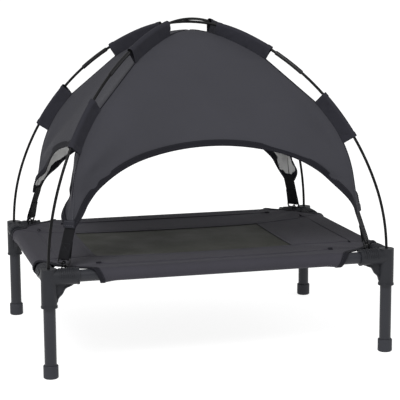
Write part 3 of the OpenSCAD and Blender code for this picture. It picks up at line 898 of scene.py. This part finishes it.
def sleeve(kind, corner):
    """Pocket of cloth round the rod, sewn to the ridge, with a folded hem at each end."""
    s0, s1 = SLEEVES[kind]
    creases = sleeve_creases(kind, corner)
    q = np.linspace(-1, 1, 41)
    lengths = [
        np.linspace(s0, s0 + SLEEVE_HEM, 4),
        np.linspace(s0 + SLEEVE_HEM, s1 - SLEEVE_HEM, 40)[1:-1],
        np.linspace(s1 - SLEEVE_HEM, s1, 4),
    ]
    outset = np.concatenate([np.full(4, HEM_PROUD), np.zeros(38), np.full(4, HEM_PROUD)])
    s = np.concatenate(lengths)
    points = np.concatenate(
        [sleeve_point(corner, s[i:i + 1], q, creases, outset[i]) for i in range(len(s))]
    )
    around = run_along(points[20])
    uv = np.stack(np.broadcast_arrays(around[None, :], s[:, None]), -1)
    surface = Surface()
    left = diagonal(corner)[1]
    surface.grid(points, uv, -left)
    obj = shell(f"{kind}_sleeve_cloth_{corner}", surface, 0.0006, SLEEVE, SLEEVE)
    rows = []
    for end in (s0 + SLEEVE_HEM - 0.0016, s1 - SLEEVE_HEM + 0.0016):
        path = sleeve_point(corner, np.array([end]), q, creases, HEM_PROUD + 0.0001)[0]
        rows.append((path, unit(path - path.mean(0))))
    for edge in (-0.965, 0.965):
        at = np.linspace(s0 + 0.002, s1 - 0.002, 30)
        path = np.array(
            [sleeve_point(corner, np.array([v]), np.array([edge]), creases, 0.0003)[0, 0] for v in at]
        )
        rows.append((path, np.tile(left * np.sign(edge), (len(path), 1))))
    thread = stitches(f"{kind}_sleeve_stitching_{corner}", rows, THREAD, r=0.00028)
    return obj, thread, (s1 - s0, float(around[-1]))


# ---- straps and rings ---------------------------------------------------------------
STRAP_T = 0.0014
# centre of the strap's rolled end, just under the tail
STRAP_TOP = np.array([RIDGE_FOOT[0] - 0.0012, TAIL_Z - 0.0013])
STRAP_END = np.array([0.3265, 0.192])
STRAP_DOWN = (STRAP_END - STRAP_TOP) / np.linalg.norm(STRAP_END - STRAP_TOP)
STRAP_OUT = np.array([-STRAP_DOWN[1], STRAP_DOWN[0]])
STRAP_LEN = float(np.linalg.norm(STRAP_END - STRAP_TOP))
BAR_R = 0.0015
BAR_HIGH = STRAP_LEN - 0.0016
BAR_LOW = STRAP_LEN + 0.0074
RING_HALF = 0.0128


def strap_plane(x, u):
    """Radial place of a point x outwards and u down from the strap's sewn end."""
    return STRAP_TOP + x * STRAP_OUT + u * STRAP_DOWN


def strap(corner):
    """Webbing from behind the tail, round the ring's upper bar and back up, sewn to itself."""
    wrap = BAR_R + STRAP_T / 2 + 0.0001
    path = [strap_plane(-0.0008, -0.010), strap_plane(-0.0007, 0.0), strap_plane(0.0002, 0.012),
            strap_plane(0.0011, 0.030), strap_plane(wrap * 0.85, BAR_HIGH - 0.010)]
    for angle in np.linspace(0, math.pi, 11):
        path.append(strap_plane(wrap * math.cos(angle), BAR_HIGH + wrap * math.sin(angle)))
    path += [strap_plane(-0.0018, BAR_HIGH - 0.008), strap_plane(-0.0006, BAR_HIGH - 0.020),
             strap_plane(-0.0004, BAR_HIGH - 0.028)]
    path = np.array(path)
    length = run_along(path)
    t = np.unique(np.concatenate([np.linspace(0, length[-1], 60), length[5:16]]))
    path = np.stack([np.interp(t, length, path[:, k]) for k in (0, 1)], 1)
    ahead = unit(np.gradient(path, axis=0))
    normal = np.stack([-ahead[:, 1], ahead[:, 0]], 1)
    half, thick = STRAP_HALF, STRAP_T / 2
    section = [(-half, 0), (-half + 0.0004, thick * 0.8), (-half + 0.0012, thick)]
    section += [(x, thick) for x in np.linspace(-half + 0.0035, half - 0.0035, 7)]
    section += [(-x, y) for x, y in section[2::-1]]
    section += [(-x, -y) for x, y in section[1:-1]]
    rings = []
    for x, y in section:
        r, z = (path + normal * y).T
        rings.append(in_diagonal(corner, r, z, x))
    rings = np.stack(rings, 1)
    obj = sweep("strap_webbing_" + corner, rings, WEBBING, sharp=60)
    return obj, float(t[-1])


def strap_place(corner, u):
    """Middle of the strap u down from its sewn end."""
    p = strap_plane(0.0, u)
    return tuple(float(v) for v in in_diagonal(corner, p[0], p[1]))


def strap_stitching(corner):
    """Box and cross that sews the strap's two layers."""
    face = in_diagonal(corner, STRAP_OUT[0], STRAP_OUT[1])
    inset = STRAP_HALF - 0.003
    u0, u1 = BAR_HIGH - 0.024, BAR_HIGH - 0.009

    def at(side, u, x):
        p = strap_plane(x, u)
        return in_diagonal(corner, p[0], p[1], side)

    rows = []
    box = [(-inset, u0), (inset, u0), (inset, u1), (-inset, u1), (-inset, u0), (inset, u1)]
    cross = [(-inset, u1), (inset, u0)]
    for run in (box, cross):
        for start, end in zip(run[:-1], run[1:]):
            path = np.array([at(*start, 0.0023), at(*end, 0.0023)])
            rows.append((path, np.array([face, face])))
    return stitches("strap_stitching_" + corner, rows, THREAD, pitch=0.003, long=0.002)


def ring(corner):
    """Rounded rectangular ring, its upper bar in the strap's loop."""
    path, corner_r = [], 0.0028
    mid, high = (BAR_HIGH + BAR_LOW) / 2, (BAR_LOW - BAR_HIGH) / 2
    for sx, su, a0 in ((1, 1, 0), (-1, 1, 90), (-1, -1, 180), (1, -1, 270)):
        for a in np.radians(np.linspace(a0, a0 + 90, 7)):
            path.append((sx * (RING_HALF - corner_r) + corner_r * math.cos(a),
                         mid + su * (high - corner_r) + corner_r * math.sin(a)))
    path = np.array(path)
    ahead = unit(np.roll(path, -1, axis=0) - np.roll(path, 1, axis=0))
    sidewise = np.stack([ahead[:, 1], -ahead[:, 0]], 1)
    rings = []
    for (side, u), (ns, nu) in zip(path, sidewise):
        loop = []
        for a in np.linspace(0, 2 * math.pi, 14, endpoint=False):
            reach, lift = BAR_R * math.cos(a), BAR_R * math.sin(a)
            p = strap_plane(lift, u + nu * reach)
            loop.append(in_diagonal(corner, p[0], p[1], side + ns * reach))
        rings.append(loop)
    return sweep("ring_" + corner, np.array(rings), RING, closed=True, sharp=80)


# ---- lying surface ----------------------------------------------------------------
BED_T = 0.0013
# hollow corner, as distances in from the leg along x and y
NOTCH = np.array([[0, 0.068], [0.008, 0.0600], [0.012, 0.0500], [0.016, 0.0410], [0.0215, 0.0335],
                  [0.028, 0.0270], [0.035, 0.0215], [0.042, 0.0160], [0.048, 0.0115], [0.055, 0.0075],
                  [0.062, 0.0040], [0.068, 0]])
SAG = 0.009
TUNNEL_END = math.radians(-128)


def bed_height(x, y):
    """Top of the stretched sheet: it sags between the rails, with creases at the corners."""
    fall = SAG * (1 - np.abs(x / LEG_X) ** 2.4) * (1 - np.abs(y / LEG_Y) ** 2.4)
    dx, dy = LEG_X - np.abs(x), LEG_Y - np.abs(y)
    away = np.hypot(dx, dy)
    angle = np.arctan2(dy, np.maximum(dx, 1e-6))
    crease = 0.0008 * np.sin(13 * angle + np.sign(x) + 2 * np.sign(y))
    crease *= smooth(away, 0.02, 0.07) * (1 - smooth(away, 0.08, 0.2))
    crease *= smooth(np.minimum(dx, dy), 0.0, 0.03)
    return SHEET_TOP - fall + crease


def sheet_half_depth(x):
    """Half depth of the sheet at x: the rail's axis, or the hollow corner's edge."""
    dx = LEG_X - np.abs(x)
    return LEG_Y - np.interp(dx, NOTCH[:, 0], NOTCH[:, 1], right=0)


def tunnel_profile(q):
    """Outward and upward place of the tunnel's cloth at share q, from its top to its hem."""
    turn = math.pi / 2 - TUNNEL_END
    rise = (FABRIC_R - 0.002) - FABRIC_R * math.sin(TUNNEL_END)
    straight = rise / -math.cos(TUNNEL_END)
    total = FABRIC_R * turn + straight
    run = q * total
    angle = math.pi / 2 - np.minimum(run / FABRIC_R, turn)
    past = np.maximum(run - FABRIC_R * turn, 0)
    out = FABRIC_R * np.cos(angle) + past * math.sin(TUNNEL_END)
    up = FABRIC_R * np.sin(angle) - past * math.cos(TUNNEL_END)
    return out, up, total


# how far the bound ends of the tunnels draw back under the rail, and stand off it
LONG_SLANT = 0.018
SHORT_SLANT = 0.012
FLARE = 0.0024


def slant(q):
    return 1 - np.maximum(0, 1 - q / 0.6) ** 2


def flare(q, from_end):
    """How much wider the tunnel's mouth is than the rest of it."""
    return 1 + FLARE / FABRIC_R * smooth(q, 0, 0.12) * (1 - smooth(from_end, 0, 0.030))


def tunnel(along, q, length, gap, drawn):
    """Cloth round a rail of half the given length: place along it, outward and upward."""
    out, up = tunnel_profile(q)[:2]
    end = length - gap
    wide = flare(q, end - np.abs(along))
    return along * (1 - drawn * slant(q) / end), out * wide, up * wide


def long_tunnel(x, q, side):
    x, out, up = tunnel(x, q, LEG_X, NOTCH[-1, 0], LONG_SLANT)
    return np.stack(np.broadcast_arrays(x, side * (LEG_Y + out), RAIL_Z + up), -1)


def short_tunnel(y, q, side):
    y, out, up = tunnel(y, q, LEG_Y, NOTCH[0, 1], SHORT_SLANT)
    return np.stack(np.broadcast_arrays(side * (LEG_X + out), y, RAIL_Z + up), -1)


def bed_cover():
    """One cloth: sheet with a window for the mesh, and a tunnel round each rail."""
    end = LEG_X - NOTCH[-1, 0]
    x = np.concatenate([
        np.linspace(-LEG_X, -end, 13)[:-1],
        np.linspace(-end, MESH_LOW.x, 6)[:-1],
        np.linspace(MESH_LOW.x, MESH_HIGH.x, 48)[:-1],
        np.linspace(MESH_HIGH.x, end, 10)[:-1],
        np.linspace(end, LEG_X, 13),
    ])
    share = MESH_HIGH.y / LEG_Y
    v = np.concatenate([
        np.linspace(-1, -share, 18)[:-1], np.linspace(-share, share, 30)[:-1], np.linspace(share, 1, 18)
    ])
    xs, vs = np.meshgrid(x, v, indexing="ij")
    ys = vs * sheet_half_depth(xs)
    top = np.stack([xs, ys, bed_height(xs, ys)], -1)
    keep = np.ones((len(x) - 1, len(v) - 1), bool)
    mid_x, mid_v = (x[1:] + x[:-1]) / 2, (v[1:] + v[:-1]) / 2
    window = (mid_x > MESH_LOW.x) & (mid_x < MESH_HIGH.x)
    keep[np.ix_(window, np.abs(mid_v) < share)] = False
    surface = Surface()
    surface.grid(top, top[..., :2], UP, keep)
    q = np.linspace(0, 1, 30)
    long_x = x[np.abs(x) <= end + 1e-6]
    total = tunnel_profile(q)[2]
    for side in (-1, 1):
        points = long_tunnel(long_x[None, :], q[:, None], side)
        uv = np.stack(np.broadcast_arrays(long_x[None, :], side * (LEG_Y + q[:, None] * total)), -1)
        surface.grid(points, uv, UP)
        short_y = v * sheet_half_depth(np.array(LEG_X))
        points = short_tunnel(short_y[None, :], q[:, None], side)
        uv = np.stack(np.broadcast_arrays(side * (LEG_X + q[:, None] * total), short_y[None, :]), -1)
        surface.grid(points, uv, UP)
    return shell("bed_cover", surface, BED_T, BED, BED)


def bed_corner_binding(corner):
    """Dark tape round the hollow corner, from under one rail to under the other."""
    sx, sy = CORNERS[corner]
    q = np.linspace(1, 0, 26)
    end_x, end_y = LEG_X - NOTCH[-1, 0], LEG_Y - NOTCH[0, 1]
    rail = long_tunnel(np.array(sx * end_x), q, sy)
    rail_in = np.tile([-sx, 0.0, 0.0], (len(q), 1))
    dx = np.linspace(NOTCH[-1, 0], 0, 30)[1:-1]
    nx = sx * (LEG_X - dx)
    ny = sy * sheet_half_depth(nx)
    hollow = np.stack([nx, ny, bed_height(nx, ny)], -1)
    tangent = unit(np.gradient(hollow, axis=0))
    hollow_in = np.cross(np.tile(UP, (len(hollow), 1)), tangent)
    hollow_in *= np.sign((hollow_in * [-sx, -sy, 0]).sum(1))[:, None]
    back = short_tunnel(np.array(sy * end_y), q[::-1], sx)
    back_in = np.tile([0.0, -sy, 0.0], (len(q), 1))
    path = np.concatenate([rail, hollow, back])
    inward = np.concatenate([rail_in, hollow_in, back_in])
    for turn in range(3):
        inward[1:-1] = (inward[:-2] + 2 * inward[1:-1] + inward[2:]) / 4
    inward = unit(inward)
    along = unit(np.gradient(path, axis=0))
    normal = unit(np.cross(inward, along))
    if normal[len(rail) + 10] @ UP < 0:
        normal = -normal
    square = np.cross(along, normal)
    inward = unit(square * np.sign((square * inward).sum(1))[:, None])
    obj = binding("bed_corner_tape_" + corner, path, normal, inward, 0.0075, BED_T, TAPE)
    stay = slice(14, len(path) - 14)
    rows = [((path + inward * 0.0060 + normal * 0.0008)[stay], normal[stay])]
    return obj, rows


# stitch rows round the mesh, the seams' section and swing, and where the hem rows run
MESH_ROWS = (0.0080, 0.0125)
SEAM_SECTION = ((-0.0045, -0.0006), (-0.0040, 0.0003), (0.0, 0.0005), (0.0040, 0.0003),
                (0.0045, -0.0006))
SEAM_SWING = 0.030
HEM_IN, HEM_SHORT = 0.029, 0.075


def bed_seams():
    """Raised seams from the mesh's corners out to the short ends, and stitch rows."""
    made, rows = [], []
    x0, y0, x1, y1 = MESH_LOW.x, MESH_LOW.y, MESH_HIGH.x, MESH_HIGH.y
    corners = [(x0, y0), (x1, y0), (x1, y1), (x0, y1)]
    for offset in MESH_ROWS:
        for i in range(4):
            a = np.array(corners[i]) + np.sign(corners[i]) * offset
            b = np.array(corners[(i + 1) % 4]) + np.sign(corners[(i + 1) % 4]) * offset
            t = np.linspace(0, 1, 60)[:, None]
            xy = a + t * (b - a)
            path = np.column_stack([xy, bed_height(xy[:, 0], xy[:, 1]) + 0.0002])
            rows.append((path, np.tile(UP, (60, 1))))
    # each seam leaves a mesh corner and swings out to the short rail
    for sx in (-1, 1):
        edge_x = MESH_HIGH.x if sx > 0 else MESH_LOW.x
        for sy in (-1, 1):
            t = np.linspace(0, 1, 40)
            x = edge_x + (sx * LEG_X - edge_x) * t
            y = sy * (MESH_HIGH.y + SEAM_SWING * t**1.6)
            z = bed_height(x, y)
            path = np.column_stack([x, y, z])
            side = unit(np.cross(np.tile(UP, (40, 1)), np.gradient(path, axis=0)))
            rings = np.stack([path + side * a + UP * b for a, b in SEAM_SECTION], 1)
            name = ("r" if sx > 0 else "l") + ("b" if sy > 0 else "f")
            made.append(sweep("bed_seam_" + name, rings, BED, sharp=60))
            for shift in (-0.0028, 0.0028):
                rows.append((path + side * shift + UP * 0.0006, np.tile(UP, (40, 1))))
    # the front and back tunnel hems are sewn through the sheet
    hem = LEG_Y - HEM_IN
    reach = LEG_X - HEM_SHORT
    for sy in (-1, 1):
        x = np.linspace(-reach, reach, 120)
        y = np.full_like(x, sy * hem)
        rows.append((np.column_stack([x, y, bed_height(x, y) + 0.0002]), np.tile(UP, (120, 1))))
    return made, rows


def mesh_insert():
    """Mesh set under the window's edge, with the sheet's sag."""
    lap = 0.010
    x = np.linspace(MESH_LOW.x - lap, MESH_HIGH.x + lap, 90)
    y = np.linspace(MESH_LOW.y - lap, MESH_HIGH.y + lap, 60)
    xs, ys = np.meshgrid(x, y, indexing="ij")
    zs = bed_height(xs, ys) - BED_T - 0.0001
    points = np.stack([xs, ys, zs], -1)
    surface = Surface()
    surface.grid(points, points[..., :2], UP)
    return shell("mesh_insert", surface, 0.0007, MESH, MESH), (x[-1] - x[0], y[-1] - y[0])


# ---- build ---------------------------------------------------------------------------
canopy = place(
    canopy_shell(), "canopy", "canopy_cloth",
    "canopy_front", "canopy_back", "canopy_left", "canopy_right",
    *["corner_tail_" + corner for corner in CORNERS],
)
for piece in canopy_hems():
    place(piece, "canopy", "canopy_cloth")
tail_rows = []
for corner in CORNERS:
    place(ridge_seam(corner), "canopy", "canopy_cloth")
    for piece, sewn in (tail_strip(corner), tail_band(corner)):
        place(piece, "canopy", "canopy_cloth")
        tail_rows += sewn
tail_threads = stitches("tail_stitching", tail_rows, TAIL_THREAD, r=0.0003)
place(tail_threads, "canopy", "canopy_cloth")
for kind in SLEEVES:
    for corner in CORNERS:
        cloth_piece, thread_piece, flat = sleeve(kind, corner)
        place(cloth_piece, "canopy", "canopy_cloth", f"{kind}_sleeve_{corner}")
        place(thread_piece, "canopy", "canopy_cloth")
for corner in CORNERS:
    body = f"strap_{corner}_swing_body"
    webbing, strap_length = strap(corner)
    strap_place(corner, -0.002)
    strap_place(corner, 0.012)
    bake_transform(webbing)
    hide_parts("strap_" + corner)
    sewing = place(strap_stitching(corner), body, "webbing")
    place(ring(corner), body, "ring_plastic", "strap_ring_" + corner)

cover = place(bed_cover(), "frame", "bed_cloth", "bed_fabric")
on_bed = []
rows = []
for corner in CORNERS:
    tape, tape_rows = bed_corner_binding(corner)
    on_bed.append(place(tape, "frame", "bed_cloth"))
    rows += tape_rows
seams, seam_rows = bed_seams()
on_bed += [place(seam, "frame", "bed_cloth") for seam in seams]
bed_threads = stitches("bed_stitching", rows + seam_rows, BED_THREAD, r=0.00022)
on_bed.append(place(bed_threads, "frame", "bed_cloth"))
insert, insert_size = mesh_insert()
place(insert, "frame", "mesh_cloth", "mesh_panel")


# ---- camera, floor and light ------------------------------------------------------------
CAMERA_AT = (-0.6118, -2.3943, 0.6721)
CAMERA_TURN = (14.75, 9.82, -0.35)
CAMERA_LENS = 124.97


def make_camera():
    yaw, pitch, roll = (math.radians(a) for a in CAMERA_TURN)
    ahead = Vector((math.sin(yaw) * math.cos(pitch), math.cos(yaw) * math.cos(pitch), -math.sin(pitch)))
    right = ahead.cross(Vector((0, 0, 1))).normalized()
    up = right.cross(ahead)
    turned_right = right * math.cos(roll) + up * math.sin(roll)
    turned_up = up * math.cos(roll) - right * math.sin(roll)
    data = bpy.data.cameras.new("camera")
    data.sensor_width = 36.0
    data.lens = CAMERA_LENS
    data.clip_end = 200.0
    camera = bpy.data.objects.new("camera", data)
    camera.matrix_world = Matrix.Translation(CAMERA_AT) @ Matrix(
        (turned_right, turned_up, -ahead)
    ).transposed().to_4x4()
    bpy.context.scene.collection.objects.link(camera)
    bpy.context.scene.camera = camera


def make_floor():
    n = Nodes("floor_paint")
    cloud = n.noise(1.5, 2.0)
    n.set(Base_Color=n.shade(cloud, (0.36, 0.36, 0.36, 1), (0.38, 0.38, 0.38, 1)))
    n.set(Roughness=0.9, Specular_IOR_Level=0.1, Emission_Color=(1, 1, 1, 1), Emission_Strength=0.86)
    half = 60.0
    verts = [(-half, -half, 0), (half, -half, 0), (half, half, 0), (-half, half, 0)]
    floor = new_object("floor", verts, [[0, 1, 2, 3]], [n.material])
    floor.location.z = -0.0002


def area_light(name, at, target, size, power):
    data = bpy.data.lights.new(name, "AREA")
    data.shape = "SQUARE"
    data.size = size
    data.energy = power
    light = bpy.data.objects.new(name, data)
    light.location = at
    light.rotation_euler = (Vector(target) - Vector(at)).to_track_quat("-Z", "Y").to_euler()
    bpy.context.scene.collection.objects.link(light)


def make_light():
    world = bpy.data.worlds.new("studio")
    bpy.context.scene.world = world
    world.use_nodes = True
    world.node_tree.nodes["Background"].inputs[0].default_value = (1, 1, 1, 1)
    world.node_tree.nodes["Background"].inputs[1].default_value = 0.55
    area_light("key", (-1.3, -2.1, 2.9), (0, 0, 0.3), 1.5, 100)
    area_light("fill", (2.4, -1.0, 1.8), (0, 0, 0.3), 1.4, 12)
    bpy.context.scene.view_settings.view_transform = "Standard"


make_camera()
make_floor()
make_light()
